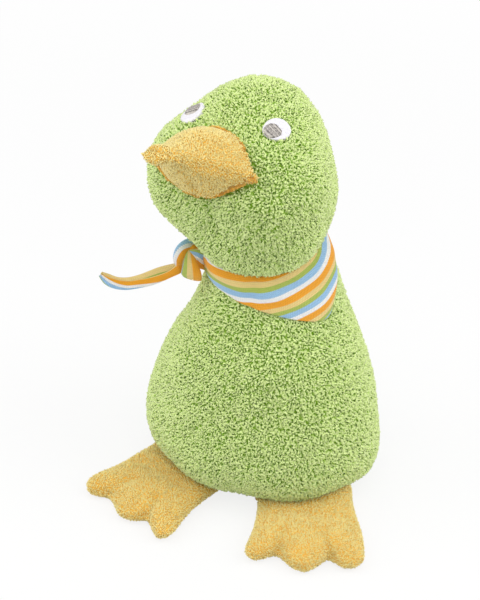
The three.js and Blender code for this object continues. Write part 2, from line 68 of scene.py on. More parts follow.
camera.matrix_world = Matrix((
    (right.x, up.x, back.x, camera_target.x + back.x * camera_distance),
    (right.y, up.y, back.y, camera_target.y + back.y * camera_distance),
    (right.z, up.z, back.z, camera_target.z + back.z * camera_distance),
    (0, 0, 0, 1),
))
scene.camera = camera


# Studio
# A white sweep lit by large soft lamps from both sides and from above. The floor is
# painted white and keeps a faint shadow of the duck.
def paint(code):
    """An sRGB hex colour as linear values."""
    values = [int(code[i:i + 2], 16) / 255 for i in (0, 2, 4)]
    return [v / 12.92 if v <= 0.04045 else ((v + 0.055) / 1.055) ** 2.4 for v in values] + [1]


def add_node(tree, kind, links=(), inputs=(), **settings):
    """One shader or geometry node, with its settings, its input values and what feeds it."""
    node = tree.nodes.new(kind)
    for name, value in settings.items():
        setattr(node, name, value)
    for name, value in dict(inputs).items():
        node.inputs[name].default_value = value
    for name, source in dict(links).items():
        tree.links.new(source, node.inputs[name])
    return node


def new_material(name):
    material = bpy.data.materials.new(name)
    material.use_nodes = True
    material.node_tree.nodes.clear()
    return material, material.node_tree


scene.view_settings.view_transform = "Standard"
world = bpy.data.worlds.new("studio air")
scene.world = world
world.use_nodes = True
air = world.node_tree
air.nodes.clear()
ray = add_node(air, "ShaderNodeLightPath")
fill = add_node(air, "ShaderNodeBackground", inputs={"Color": paint("ffffff"), "Strength": 0.6})
seen = add_node(air, "ShaderNodeBackground", inputs={"Color": paint("ffffff"), "Strength": 1.0})
mix = add_node(air, "ShaderNodeMixShader", links={
    0: ray.outputs["Is Camera Ray"], 1: fill.outputs[0], 2: seen.outputs[0],
})
add_node(air, "ShaderNodeOutputWorld", links={"Surface": mix.outputs[0]})

floor_mesh = bmesh.new()
bmesh.ops.create_grid(floor_mesh, x_segments=1, y_segments=1, size=4)
floor_data = bpy.data.meshes.new("floor")
floor_mesh.to_mesh(floor_data)
floor_mesh.free()
floor = bpy.data.objects.new("floor", floor_data)
scene.collection.objects.link(floor)
floor_paint, tree = new_material("matt white studio paint")
ray = add_node(tree, "ShaderNodeLightPath")
matt = add_node(tree, "ShaderNodeBsdfDiffuse", inputs={"Color": paint("f4f4f4")})
glow = add_node(tree, "ShaderNodeEmission", inputs={"Color": paint("ffffff"), "Strength": 1.0})
# the shadow near the duck fades out to plain white a metre away
place = add_node(tree, "ShaderNodeTexCoord")
away = add_node(tree, "ShaderNodeVectorMath", operation="LENGTH", links={0: place.outputs["Object"]})
white = add_node(tree, "ShaderNodeMapRange", inputs={1: 0.15, 2: 1.0, 3: 0.82, 4: 1.0},
                 links={0: away.outputs["Value"]})
mix = add_node(tree, "ShaderNodeMixShader", links={
    0: white.outputs[0], 1: matt.outputs[0], 2: glow.outputs[0],
})
both = add_node(tree, "ShaderNodeMixShader", links={
    0: ray.outputs["Is Camera Ray"], 1: matt.outputs[0], 2: mix.outputs[0],
})
add_node(tree, "ShaderNodeOutputMaterial", links={"Surface": both.outputs[0]})
floor_data.materials.append(floor_paint)

for name, place, size, power in (
    ("lamp left", (-0.9, -0.5, 0.8), 0.9, 4.3),
    ("lamp right", (1.0, 0.1, 0.9), 0.9, 5.9),
    ("lamp above", (0.1, -0.5, 1.4), 1.0, 5.2),
):
    lamp = bpy.data.objects.new(name, bpy.data.lights.new(name, "AREA"))
    scene.collection.objects.link(lamp)
    lamp.data.shape = "SQUARE"
    lamp.data.size = size
    lamp.data.energy = power
    lamp.location = place
    aim = Vector((0, 0, 0.12)) - lamp.location
    lamp.rotation_euler = aim.to_track_quat("-Z", "Y").to_euler()


# Body
# A pear of green cotton terry cut as two side panels, closed by an oval base panel and
# stuffed firmly. The seams run down the middle of the chest and of the back.
def cloth_piece(name, form, body, cad_nodes, material):
    """A new object from a bmesh, which rides on a body and stands for CAD nodes."""
    data = bpy.data.meshes.new(name)
    form.to_mesh(data)
    form.free()
    data.shade_smooth()
    data.materials.append(material)
    piece = bpy.data.objects.new(name, data)
    scene.collection.objects.link(piece)
    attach(piece, body)
    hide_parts(*cad_nodes)
    return piece


def stuffed_form(nodes, voxel, inset, rounds=4):
    """The CAD pieces of one stuffed form, closed to a single skin, rounded and drawn in."""
    # the pieces first grow by this much, so that the gaps between them close
    closing = 0.0012
    raw = bmesh.new()
    for node in nodes:
        raw.from_mesh(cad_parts[node].data)
    bmesh.ops.remove_doubles(raw, verts=raw.verts, dist=1e-6)
    raw.normal_update()
    for vertex in raw.verts:
        vertex.co += vertex.normal * closing * min(vertex.calc_shell_factor(), 2)
    data = bpy.data.meshes.new("stuffing")
    raw.to_mesh(data)
    raw.free()
    shape = bpy.data.objects.new("stuffing", data)
    scene.collection.objects.link(shape)
    remesh = shape.modifiers.new("skin", "REMESH")
    remesh.mode = "VOXEL"
    remesh.voxel_size = voxel
    bpy.context.view_layer.update()
    skin = bmesh.new()
    skin.from_object(shape, bpy.context.evaluated_depsgraph_get())
    bpy.data.objects.remove(shape)
    keep_outer_shell(skin)
    for _ in range(rounds):
        smooth(skin, skin.verts)
    push(skin, lambda place: -(closing + inset))
    return skin


def keep_outer_shell(skin):
    """Drops what the remesh leaves inside a form."""
    shell = {max(skin.verts, key=lambda vertex: vertex.co.z)}
    edge = list(shell)
    while edge:
        near = {other for vertex in edge for link in vertex.link_edges for other in link.verts}
        edge = [vertex for vertex in near if vertex not in shell]
        shell.update(edge)
    loose = [vertex for vertex in skin.verts if vertex not in shell]
    bmesh.ops.delete(skin, geom=loose, context="VERTS")


def smooth(form, points):
    """Draws the points half way to the middle of their neighbours."""
    bmesh.ops.smooth_vert(form, verts=points, factor=0.5, use_axis_x=True, use_axis_y=True,
                          use_axis_z=True)


def push(skin, amount):
    """Moves each point out along its normal by amount(place), in metres."""
    skin.normal_update()
    moves = [vertex.normal * amount(vertex.co) for vertex in skin.verts]
    for vertex, move in zip(skin.verts, moves):
        vertex.co += move
    skin.normal_update()


def swell(skin, cap, sewn):
    """A cloth simulation: the stuffing presses the cover out between its seams, by up to cap."""
    pressure, steps = 4, 15
    data = bpy.data.meshes.new("cover")
    skin.to_mesh(data)
    shape = bpy.data.objects.new("cover", data)
    scene.collection.objects.link(shape)
    seams = shape.vertex_groups.new(name="seams")
    seams.add([number for number, vertex in enumerate(skin.verts) if sewn(vertex.co)], 1, "REPLACE")
    cloth = shape.modifiers.new("cloth", "CLOTH")
    cloth.settings.use_pressure = True
    cloth.settings.uniform_pressure_force = pressure
    cloth.settings.vertex_group_mass = "seams"
    cloth.settings.effector_weights.gravity = 0
    for step in range(1, steps + 1):
        scene.frame_set(step)
    pressed = shape.evaluated_get(bpy.context.evaluated_depsgraph_get()).to_mesh()
    swelled = 0
    for vertex, after in zip(skin.verts, pressed.vertices):
        move = after.co - vertex.co
        if move.length > cap:
            move *= cap / move.length
        swelled += move.dot(vertex.normal) / len(skin.verts)
        vertex.co += move
    bpy.data.objects.remove(shape)
    scene.frame_set(1)
    # the form that went in was already the stuffed one, so it goes in by what it swelled
    push(skin, lambda place: -swelled)


def bump(place, middle, radius):
    """1 at the middle, falling smoothly to nothing."""
    return math.exp(-((place - Vector(middle)).length / radius) ** 2)


def crease(place, start, end, radius):
    """1 along a line from start to end, falling smoothly to nothing beside it."""
    start, end = Vector(start), Vector(end)
    along = end - start
    share = max(0, min(1, (place - start).dot(along) / along.length_squared))
    return math.exp(-((place - start - along * share).length / radius) ** 2)


def modelled(place, amount, bumps, creases=()):
    """An amount with a form's own bumps and creases added, each led by how far it goes out."""
    for height, middle, radius in bumps:
        amount += height * bump(place, middle, radius)
    for height, start, end, radius in creases:
        amount += height * crease(place, start, end, radius)
    return amount


def part_of(skin, test):
    """A copy of the faces whose middle passes the test."""
    copy = skin.copy()
    gone = [face for face in copy.faces if not test(face.calc_center_median())]
    bmesh.ops.delete(copy, geom=gone, context="FACES")
    return copy


def set_stops(dye, stops):
    """Gives the two ends of a colour ramp their positions and hex colours."""
    for stop, (position, shade) in zip(dye.color_ramp.elements, stops):
        stop.position = position
        stop.color = paint(shade)


# Cotton terry is knitted on a plain ground. What shows between its tall loops are the low ones, so the ground
# has painted shade, darkest in its gaps and lighter on their crowns.
def terry_ground(name, gap_shade, crown):
    material, tree = new_material(name)
    place = add_node(tree, "ShaderNodeTexCoord")
    # the yarns wander, so the 1.2 mm cells of the loops are bent by a finer noise
    wander = add_node(tree, "ShaderNodeTexNoise", inputs={"Scale": 700, "Detail": 1},
                      links={"Vector": place.outputs["Object"]})
    bent = add_node(tree, "ShaderNodeVectorMath", operation="MULTIPLY_ADD", inputs={1: (0.0016,) * 3},
                    links={0: wander.outputs["Color"], 2: place.outputs["Object"]})
    low_loops = add_node(tree, "ShaderNodeTexVoronoi", feature="SMOOTH_F1",
                         inputs={"Scale": 830, "Smoothness": 0.3}, links={"Vector": bent.outputs[0]})
    relief = add_node(tree, "ShaderNodeBump", invert=True, inputs={"Strength": 0.8, "Distance": 0.0008},
                      links={"Height": low_loops.outputs["Distance"]})
    # painted shade in the gaps between the low loops, lighter on their crowns
    dye = add_node(tree, "ShaderNodeValToRGB", links={0: low_loops.outputs["Distance"]})
    set_stops(dye, ((0.15, crown), (0.6, gap_shade)))
    cotton = add_node(tree, "ShaderNodeBsdfPrincipled",
                      inputs={"Roughness": 0.95, "Specular IOR Level": 0.2},
                      links={"Base Color": dye.outputs[0], "Normal": relief.outputs[0]})
    add_node(tree, "ShaderNodeOutputMaterial", links={"Surface": cotton.outputs[0]})
    return material


# A terry loop is a soft two-ply cotton yarn, painted with shade where it leaves the ground and lightening to
# its crown, each loop a little different, and the dye slightly uneven over the cloth.
def terry_loops(name, root, middle, crown):
    material, tree = new_material(name)
    tip = add_node(tree, "ShaderNodeAttribute", attribute_name="tip")
    tint = add_node(tree, "ShaderNodeAttribute", attribute_name="tint")
    place = add_node(tree, "ShaderNodeTexCoord")
    # patches of about 25 mm
    patches = add_node(tree, "ShaderNodeTexNoise", inputs={"Scale": 40, "Detail": 2},
                       links={"Vector": place.outputs["Object"]})
    height = add_node(tree, "ShaderNodeMath", operation="MULTIPLY_ADD", inputs={1: 0.3},
                      links={0: tint.outputs["Fac"], 2: tip.outputs["Fac"]})
    level = add_node(tree, "ShaderNodeMath", operation="MULTIPLY_ADD", inputs={1: 0.3},
                     links={0: patches.outputs["Fac"], 2: height.outputs[0]})
    # painted shade at each loop's root, lightening to its crown
    dye = add_node(tree, "ShaderNodeValToRGB", links={0: level.outputs[0]})
    set_stops(dye, ((0.25, root), (1.35 / 1.6, crown)))
    dye.color_ramp.elements.new(0.55).color = paint(middle)
    cotton = add_node(tree, "ShaderNodeBsdfPrincipled",
                      inputs={"Roughness": 0.85, "Specular IOR Level": 0.3, "Sheen Weight": 0.25,
                              "Sheen Roughness": 0.5},
                      links={"Base Color": dye.outputs[0]})
    add_node(tree, "ShaderNodeOutputMaterial", links={"Surface": cotton.outputs[0]})
    return material


# Three loops of yarn, each a section of yarn turned through half a circle. The piles hold
# tens of thousands, so a loop has only 18 triangles.
def yarn_loops(thickness, width, height):
    """Loops to be scattered: upright, fallen over and twisted."""
    sides, steps, rooting = 3, 3, 0.0005
    group = bpy.data.collections.new("yarn loops")
    for number, (fall, twist) in enumerate(((0.15, 0.3), (0.75, 0.9), (-0.45, -1.3))):
        loop = bmesh.new()
        ring = bmesh.ops.create_circle(loop, segments=sides, radius=thickness / 2)["verts"]
        bmesh.ops.translate(loop, verts=ring, vec=(width / 2 - thickness / 2, 0, 0))
        bmesh.ops.spin(loop, geom=loop.verts[:] + loop.edges[:], cent=(0, 0, 0), axis=(0, -1, 0),
                       dvec=(0, 0, 0), angle=math.pi, steps=steps)
        top = max(vertex.co.z for vertex in loop.verts)
        # how high up its loop each point lies, which sets the loop's painted shade
        crown = loop.verts.layers.float.new("tip")
        for vertex in loop.verts:
            share = vertex.co.z / top
            vertex[crown] = max(share, 0)
            turn = Matrix.Rotation(twist * share, 3, "Z")
            vertex.co = turn @ Vector((vertex.co.x, vertex.co.y, 0))
            vertex.co.y += fall * height * share ** 2
            vertex.co.z = share * height * (1 - 0.25 * abs(fall)) - (rooting if share < 0.01 else 0)
        bmesh.ops.recalc_face_normals(loop, faces=loop.faces)
        data = bpy.data.meshes.new(f"yarn loop {number}")
        loop.to_mesh(data)
        loop.free()
        data.shade_smooth()
        group.objects.link(bpy.data.objects.new(f"yarn loop {number}", data))
    return group


def grow_pile(cover, body, material, loops, spacing, lean, nap, seed, zone=1, ending=""):
    """Loops over one zone of a cover, leaning at random and with the nap, as one mesh."""
    name = cover.name.replace("cover", "pile") + ending
    smallest, largest, tilt = 0.75, 1.2, 0.35
    tree = bpy.data.node_groups.new(name, "GeometryNodeTree")
    for end in ("INPUT", "OUTPUT"):
        tree.interface.new_socket("Geometry", in_out=end, socket_type="NodeSocketGeometry")
    ground = add_node(tree, "NodeGroupInput")
    marked = add_node(tree, "GeometryNodeInputNamedAttribute", data_type="FLOAT", inputs={"Name": "pile"})
    grows = add_node(tree, "FunctionNodeCompare", data_type="FLOAT", operation="EQUAL",
                     inputs={1: zone, "Epsilon": 0.5}, links={0: marked.outputs["Attribute"]})
    roots = add_node(tree, "GeometryNodeDistributePointsOnFaces", distribute_method="POISSON",
                     inputs={"Distance Min": spacing, "Density Max": 1.6 / spacing ** 2, "Seed": seed},
                     links={"Mesh": ground.outputs[0], "Selection": grows.outputs[0]})
    spot = add_node(tree, "GeometryNodeInputPosition")
    # the loops lean together in patches of about 12 mm
    drift = add_node(tree, "ShaderNodeTexNoise", inputs={"Scale": 80, "Detail": 1},
                     links={"Vector": spot.outputs[0]})
    spread = add_node(tree, "ShaderNodeVectorMath", operation="MULTIPLY_ADD",
                      inputs={1: (lean,) * 3, 2: [pull - lean / 2 for pull in nap]},
                      links={0: drift.outputs["Color"]})
    way = add_node(tree, "ShaderNodeVectorMath", operation="ADD",
                   links={0: roots.outputs["Normal"], 1: spread.outputs[0]})
    stand = add_node(tree, "FunctionNodeAlignRotationToVector", axis="Z", links={"Vector": way.outputs[0]})
    spin = add_node(tree, "FunctionNodeRandomValue", data_type="FLOAT_VECTOR",
                    inputs={0: (-tilt, -tilt, -math.pi), 1: (tilt, tilt, math.pi), "Seed": seed + 1})
    turned = add_node(tree, "FunctionNodeRotateRotation", rotation_space="LOCAL",
                      links={0: stand.outputs[0], 1: spin.outputs[0]})
    size = add_node(tree, "FunctionNodeRandomValue", data_type="FLOAT",
                    inputs={2: smallest, 3: largest, "Seed": seed + 2})
    kinds = add_node(tree, "GeometryNodeCollectionInfo",
                     inputs={"Collection": loops, "Separate Children": True, "Reset Children": True})
    set_in = add_node(tree, "GeometryNodeInstanceOnPoints", inputs={"Pick Instance": True},
                      links={"Points": roots.outputs["Points"], "Instance": kinds.outputs[0],
                             "Rotation": turned.outputs[0], "Scale": size.outputs[1]})
    shade = add_node(tree, "FunctionNodeRandomValue", data_type="FLOAT",
                     inputs={2: 0, 3: 1, "Seed": seed + 3})
    tinted = add_node(tree, "GeometryNodeStoreNamedAttribute", data_type="FLOAT", domain="INSTANCE",
                      inputs={"Name": "tint"},
                      links={"Geometry": set_in.outputs[0], "Value": shade.outputs[1]})
    real = add_node(tree, "GeometryNodeRealizeInstances", links={0: tinted.outputs[0]})
    add_node(tree, "NodeGroupOutput", links={0: real.outputs[0]})
    grown = bpy.data.objects.new("growing", cover.data)
    scene.collection.objects.link(grown)
    grown.modifiers.new("pile", "NODES").node_group = tree
    bpy.context.view_layer.update()
    depsgraph = bpy.context.evaluated_depsgraph_get()
    data = bpy.data.meshes.new_from_object(
        grown.evaluated_get(depsgraph), preserve_all_data_layers=True, depsgraph=depsgraph)
    bpy.data.objects.remove(grown)
    data.name = name
    data.materials.clear()
    data.materials.append(material)
    pile = bpy.data.objects.new(name, data)
    scene.collection.objects.link(pile)
    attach(pile, body)


def mark_pile(form, zone_at):
    """Notes on each point of a form which zone of loops grows there, or 0 for none."""
    layer = form.verts.layers.float.new("pile")
    for vertex in form.verts:
        vertex[layer] = zone_at(vertex.co)


loop_height = 0.0020
# the ground lies this far inside the CAD form, so that the loops end at it
loop_room = loop_height * 0.75
green_ground = terry_ground("green cotton terry ground", "82ac30", "c0df70")
green_loops = terry_loops("green cotton terry loops", "96c040", "c2e26e", "e6f8a8")
body_loops = yarn_loops(thickness=0.0009, width=0.0025, height=loop_height)

# Where the stuffing is packed fuller or slacker: how far out, round which place, how wide.
body_bumps = (
    (-0.0030, (-0.042, -0.043, 0.014), 0.022),
    (-0.0044, (0.008, -0.058, 0.010), 0.024),
    (0.0062, (0.059, 0.006, 0.009), 0.017),
    (-0.0018, (0.064, -0.010, 0.036), 0.026),
    (-0.0014, (0.060, 0.005, 0.078), 0.030),
    (-0.0016, (-0.045, -0.010, 0.105), 0.030),
    (0.0010, (-0.064, -0.010, 0.045), 0.026),
)
neck_height = 0.118
base_edge = 0.001
above_floor = 0.0004
# no loops grow where the duck stands or under the neckerchief and head
pile_bottom, pile_top = 0.0035, 0.142
# each panel's loops are two pieces, in front of and behind this line
pile_split = -0.006

body_form = stuffed_form(
    ("body_panel_left", "body_panel_right", "base_panel", "body_filling"), voxel=0.003, inset=loop_room)
swell(body_form, cap=0.0012, sewn=lambda place: abs(place.x) < 0.0016 or place.z < 0.002)
# slack below the neck, uneven stuffing, and the seam down the chest and back
push(body_form, lambda place: (
    modelled(place, 0, body_bumps)
    - 0.0012 * math.exp(-((place.z - neck_height) / 0.024) ** 2)
    + 0.0014 * noise.noise(place * 28)
    - 0.0012 * math.exp(-(place.x / 0.0022) ** 2) * min(1, place.z / 0.01)
))
for vertex in body_form.verts:
    vertex.co.z = max(vertex.co.z, above_floor)


def body_zone(place):
    if not pile_bottom < place.z < pile_top:
        return 0
    return 1 if place.y < pile_split else 2


for name, cad_nodes, test in (
    ("body_left_cover", ["body_panel_left"], lambda place: place.x > 0 and place.z > base_edge),
    ("body_right_cover", ["body_panel_right"], lambda place: place.x <= 0 and place.z > base_edge),
    ("base_cover", ["base_panel", "body_filling", "neck_filling"], lambda place: place.z <= base_edge),
):
    form = part_of(body_form, test)
    mark_pile(form, body_zone)
    cover = cloth_piece(name, form, "torso", cad_nodes, green_ground)
    if name != "base_cover":
        for zone, ending in ((1, "_front"), (2, "_back")):
            grow_pile(cover, "torso", green_loops, body_loops, spacing=0.00084, lean=1.1,
                      nap=(0, 0, -0.15), seed=11 + zone, zone=zone, ending=ending)


# Head
# Two round cheeks and a long gusset over the crown and under the chin, in the same terry.
# Stuffed hard, turned to the duck's right and tipped back. The loops are a little finer.
head_centre = Vector((-0.012, -0.0033, 0.1826))
head_axes = (Matrix.Rotation(math.radians(-18.85), 3, "Z") @ Matrix.Rotation(math.radians(-34.6), 3, "X")
             @ Matrix.Rotation(math.radians(-6.8), 3, "Y"))
gusset_half_width = 0.015


def in_head(place):
    """A place in the head's own axes: x to its left, y back and z up from its middle."""
    return head_axes.transposed() @ (place - head_centre)


def face_place(forward, left, high):
    """A place in millimetres forward, to the duck's left and up from the head's middle."""
    return head_centre + head_axes @ Vector((left, -forward, high)) / 1000


# Full crown, cheeks and chin, and a hollow at the knot and at the beak's left corner.
head_bumps = (
    (0.0014, (0.024, 0.018, 0.199), 0.030),
    (0.0017, (-0.035, 0.015, 0.221), 0.025),
    (0.0014, (-0.002, 0.026, 0.222), 0.028),
    (-0.0018, (0.031, 0.004, 0.173), 0.016),
    (0.0016, (-0.055, -0.034, 0.178), 0.014),
    (0.0042, (0.026, -0.032, 0.163), 0.016),
    (0.0016, (0.006, -0.041, 0.157), 0.015),
    (-0.0036, (-0.0370, -0.0290, 0.1545), 0.011),
    (-0.0034, face_place(52, 36, -1), 0.009),
)
# Creases in the left cheek, from under the beak down the chin, and between them.
head_creases = (
    (-0.0026, face_place(35.3, 41.1, -4.1), face_place(22.9, 39.9, -12.9), 0.006),
    (-0.0044, face_place(56, 6.8, -14.8), face_place(38, 6.6, -30), 0.0055),
    (-0.0020, face_place(44, 27, -20), face_place(36, 36, -14), 0.006),
)
head_form = stuffed_form(
    ("head_side_left", "head_side_right", "head_gusset_crown", "head_gusset_chin", "head_filling"),
    voxel=0.0027, inset=loop_room)
swell(head_form, cap=0.0010, sewn=lambda place: abs(abs(in_head(place).x) - gusset_half_width) < 0.0014)
push(head_form, lambda place: (
    modelled(place, 0.0011 * noise.noise(place * 34), head_bumps, head_creases)
    - 0.0008 * math.exp(-((abs(in_head(place).x) - gusset_half_width) / 0.0016) ** 2)
))
head_surface = BVHTree.FromBMesh(head_form)
head_loops = yarn_loops(thickness=0.00082, width=0.0022, height=loop_height)

# Eye places follow the stitched ovals: how far each lies round and above the beak's line.
eye_length, eye_height = 0.0156, 0.013
eye_frames = {}
for name, turn, rise in (("left", 26.7, 36), ("right", -23.5, 32.3)):
    turn, rise, tilt = math.radians(turn), math.radians(rise), math.radians(-18)
    middle = Vector((math.sin(turn), -math.cos(turn) * math.cos(rise), math.cos(turn) * math.sin(rise)))
    forward = Vector((0, -math.cos(tilt), math.sin(tilt)))
    forward = (forward - middle * forward.dot(middle)).normalized()
    across = forward.cross(middle)
    reach = head_surface.ray_cast(head_centre, head_axes @ middle)[3]
    eye_frames[name] = (middle * reach, forward, across)


def clear_of_eyes(place):
    for middle, forward, across in eye_frames.values():
        away = in_head(place) - middle
        along, aside = away.dot(forward) / (eye_length / 2), away.dot(across) / (eye_height / 2)
        # the far side of the head is in line with the oval too
        if along ** 2 + aside ** 2 < 1.0 and away.length < 0.012:
            return False
    return True


mouth_height = 0.0014
# how far the beak covers the face: to each side, above and below the mouth
beak_half_width, beak_above, beak_below = 0.030, 0.0195, 0.0118


def clear_of_beak(place):
    local = in_head(place)
    if local.y > -0.040:
        return True
    wide = min(1, abs(local.x) / beak_half_width)
    high = (local.z - mouth_height) / (beak_above if local.z > mouth_height else beak_below)
    return abs(high) > (1 - wide ** 2) ** 0.75


# the gusset's chin piece runs from the mouth to this far round, under the head
gusset_end = -math.radians(109)


def in_gusset(x, round_head, chin):
    return abs(x) <= gusset_half_width and (gusset_end < round_head < 0) == chin


for name, cad_nodes, test in (
    ("head_left_cover", ["head_side_left", "head_filling"], lambda x, turn: x > gusset_half_width),
    ("head_right_cover", ["head_side_right"], lambda x, turn: x < -gusset_half_width),
    ("crown_gusset_cover", ["head_gusset_crown"], lambda x, turn: in_gusset(x, turn, chin=False)),
    ("chin_gusset_cover", ["head_gusset_chin"], lambda x, turn: in_gusset(x, turn, chin=True)),
):
    form = part_of(head_form, lambda place: test(
        in_head(place).x, math.atan2(in_head(place).z, -in_head(place).y)))
    mark_pile(form, lambda place: float(clear_of_eyes(place) and clear_of_beak(place)))
    cover = cloth_piece(name, form, "head", cad_nodes, green_ground)
    grow_pile(cover, "head", green_loops, head_loops, spacing=0.00082, lean=1.2,
              nap=(0, 0, -0.25), seed=23)


# Beak
# Upper and lower panels of yellow terry with a shorter, denser loop, sewn along the mouth
# and lightly stuffed, so that the seam shows as a crease from the tip to each corner.
yellow_ground = terry_ground("yellow cotton terry ground", "f8c050", "ffdc78")
yellow_loops = terry_loops("yellow cotton terry loops", "fcc654", "ffda68", "ffec9e")
short_loops = yarn_loops(thickness=0.00058, width=0.0013, height=0.0011)
beak_form = stuffed_form(("beak_upper", "beak_lower", "beak_filling"), voxel=0.0012, inset=0.0008, rounds=3)


def above_mouth(place):
    """How far a place lies above the mouth's seam, which droops towards the tip."""
    local = in_head(place)
    share = max(0, (-local.y - 0.044) / 0.058) ** 3
    return local.z - mouth_height + 0.0049 * share


# a waist behind a short blunt tip, and the lower panel lifted at the left corner
tip_reach = 95.4
for vertex in beak_form.verts:
    local, high = in_head(vertex.co) * 1000, above_mouth(vertex.co) * 1000
    seam = local.z - high
    forward = -local.y
    waist = math.exp(-((forward - 83) / 10) ** 2)
    tip = max(0, min(1, (forward - 87) / 7))
    corner = math.exp(-((forward - 58) / 11) ** 2) * max(0, min(1, (local.x - 8) / 18))
    left = local.x * (1 - 0.12 * waist) * (1 + 0.3 * tip)
    high *= (1 - 0.3 * waist) * (1 - (0.45 * corner if high < 0 else 0)) * (1 + 0.5 * tip)
    forward = min(forward, tip_reach + 0.12 * (forward - tip_reach))
    vertex.co = face_place(forward, left, seam + high - 0.8 * tip)
swell(beak_form, cap=0.0008, sewn=lambda place: abs(above_mouth(place)) < 0.0008)
push(beak_form, lambda place: (
    0.0007 * noise.noise(place * 60)
    + 0.0016 * bump(place, face_place(57, 30, 3), 0.006)
    - 0.0016 * math.exp(-(above_mouth(place) / 0.0015) ** 2)
    - 0.0024 * crease(place, face_place(84, 6, -6), face_place(62, 2, -12), 0.0034)
))
for _ in range(9):
    smooth(beak_form, [vertex for vertex in beak_form.verts if in_head(vertex.co).y < -0.088])
# its edge is drawn into the pile of the face, which is this high
face_pile = 0.0022
for vertex in beak_form.verts:
    place, normal = head_surface.find_nearest(vertex.co)[:2]
    close = face_pile - (vertex.co - place).dot(normal)
    if close > 0:
        vertex.co -= normal * close * 1.3
for name, cad_nodes, test in (
    ("beak_upper_cover", ["beak_upper", "beak_filling"], lambda high: high > 0),
    ("beak_lower_cover", ["beak_lower"], lambda high: high <= 0),
):
    form = part_of(beak_form, lambda place: test(above_mouth(place)))
    mark_pile(form, lambda place: 1)
    cover = cloth_piece(name, form, "head", cad_nodes, yellow_ground)
    grow_pile(cover, "head", yellow_loops, short_loops, spacing=0.00056, lean=1.0,
              nap=(0, 0, 0), seed=37)


# Feet
# Each foot is a top and a sole of the yellow terry sewn round three toes, lightly stuffed
# and caught in the seam under the belly.
rim_height = 0.00615
sole_pile_bottom = 0.0016
# How far the toes' edge reaches beyond the CAD one, in millimetres across each foot from
# its inner side: the two feet are not cut quite alike.
toe_edges = {
    "left": ((-30, -5.4), (-8, -4.5), (3, -7.5), (12, -0.5), (19, 1), (26, -0.5), (33, -4.6),
             (41, 0.5), (60, 1.8)),
    "right": ((-30, 0.3), (-10, -0.4), (6, -5), (12, -2), (20, -1.5), (30, -2), (38, -5),
              (45, -1.5), (60, 0)),
}
# how far the outer side of each foot bows outwards, in millimetres
outer_bow = {"left": 1.8, "right": -1.6}
foot_splay = 23
foot_middle = 18


def eased(stations, place, spread):
    """The value at a place along a table of stations, eased between its neighbours."""
    total = 0
    for near in (place - spread, place, place + spread):
        near = max(stations[0][0], min(stations[-1][0], near))
        for (start, low), (end, high) in zip(stations, stations[1:]):
            if start <= near <= end:
                total += low + (high - low) * (near - start) / (end - start)
                break
    return total / 3


for side in ("left", "right"):
    foot_form = stuffed_form(
        (f"{side}_foot_top", f"{side}_foot_sole", f"{side}_foot_wadding"), voxel=0.0015, inset=0.0008)
    hand = 1 if side == "left" else -1
    splay = Matrix.Rotation(math.radians(foot_splay * hand), 3, "Z")

    def on_foot(out, forward, high):
        """A place on this foot in millimetres: outwards, towards the toes, and up."""
        return splay @ Vector((hand * out, -forward, high)) / 1000

    # the toes spread wider than the instep, and the root goes in under the belly
    for vertex in foot_form.verts:
        local = splay.transposed() @ vertex.co * 1000
        out, forward = local.x * hand, -local.y
        toes = max(0, min(1, (forward - 58) / 36))
        inner = max(0, min(1, (foot_middle - out) / 30))
        root = max(0, min(1, (66 - forward) / 14))
        outer = max(0, min(1, (out - 26) / 18)) * math.exp(-((forward - 72) / 14) ** 2)
        out += toes * ((out - foot_middle) * 0.07 - 2.2 * inner) + outer * outer_bow[side]
        forward += toes * 1.2 * (1 + 0.6 * inner) + toes ** 2 * eased(toe_edges[side], out, 1.5) - 9 * root
        vertex.co = on_foot(out, forward, local.z)
    swell(foot_form, cap=0.0008, sewn=lambda place: abs(place.z - rim_height) < 0.0008)
    # the seam round the rim, a crease behind each notch between the toes, one across the
    # instep, and a full middle toe
    push(foot_form, lambda place: (
        0.0008 * noise.noise(place * 45)
        - 0.0008 * math.exp(-((place.z - rim_height) / 0.0014) ** 2)
        - 0.0026 * crease(place, on_foot(4, 94, 8), on_foot(7, 80, 12), 0.0032)
        - 0.0026 * crease(place, on_foot(34, 94, 8), on_foot(30, 80, 12), 0.0032)
        - 0.0018 * crease(place, on_foot(6, 62, 14), on_foot(44, 64, 14), 0.006)
        + 0.0010 * bump(place, on_foot(16, 94, 12), 0.008)
    ))
    for vertex in foot_form.verts:
        vertex.co.z = max(vertex.co.z, above_floor)
    for name, cad_nodes, test in (
        (f"{side}_foot_top_cover", [f"{side}_foot_top", f"{side}_foot_wadding"],
         lambda place: place.z > rim_height),
        (f"{side}_foot_sole_cover", [f"{side}_foot_sole"], lambda place: place.z <= rim_height),
    ):
        form = part_of(foot_form, test)
        mark_pile(form, lambda place: float(place.z > sole_pile_bottom))
        cover = cloth_piece(name, form, f"{side}_foot", cad_nodes, yellow_ground)
        grow_pile(cover, f"{side}_foot", yellow_loops, short_loops, spacing=0.00060,
                  lean=1.0, nap=(0, 0, 0), seed=41)


# Eyes
# White ovals of satin stitch, each with a smaller mottled grey one on it. The threads lie
# side by side over a little padding, and dive into the terry at both ends.
def at_share(values, share):
    """A smooth value between evenly spread ones, numbers or places alike."""
    place = share * (len(values) - 1)
    first = min(int(place), len(values) - 2)
    step = place - first
    a, b, c, d = (values[max(0, min(len(values) - 1, first + near))] for near in (-1, 0, 1, 2))
    return b + (c - a) * (step / 2) + (a * 2 - b * 5 + c * 4 - d) * (step ** 2 / 2) \
        + (b * 3 - a - c * 3 + d) * (step ** 3 / 2)


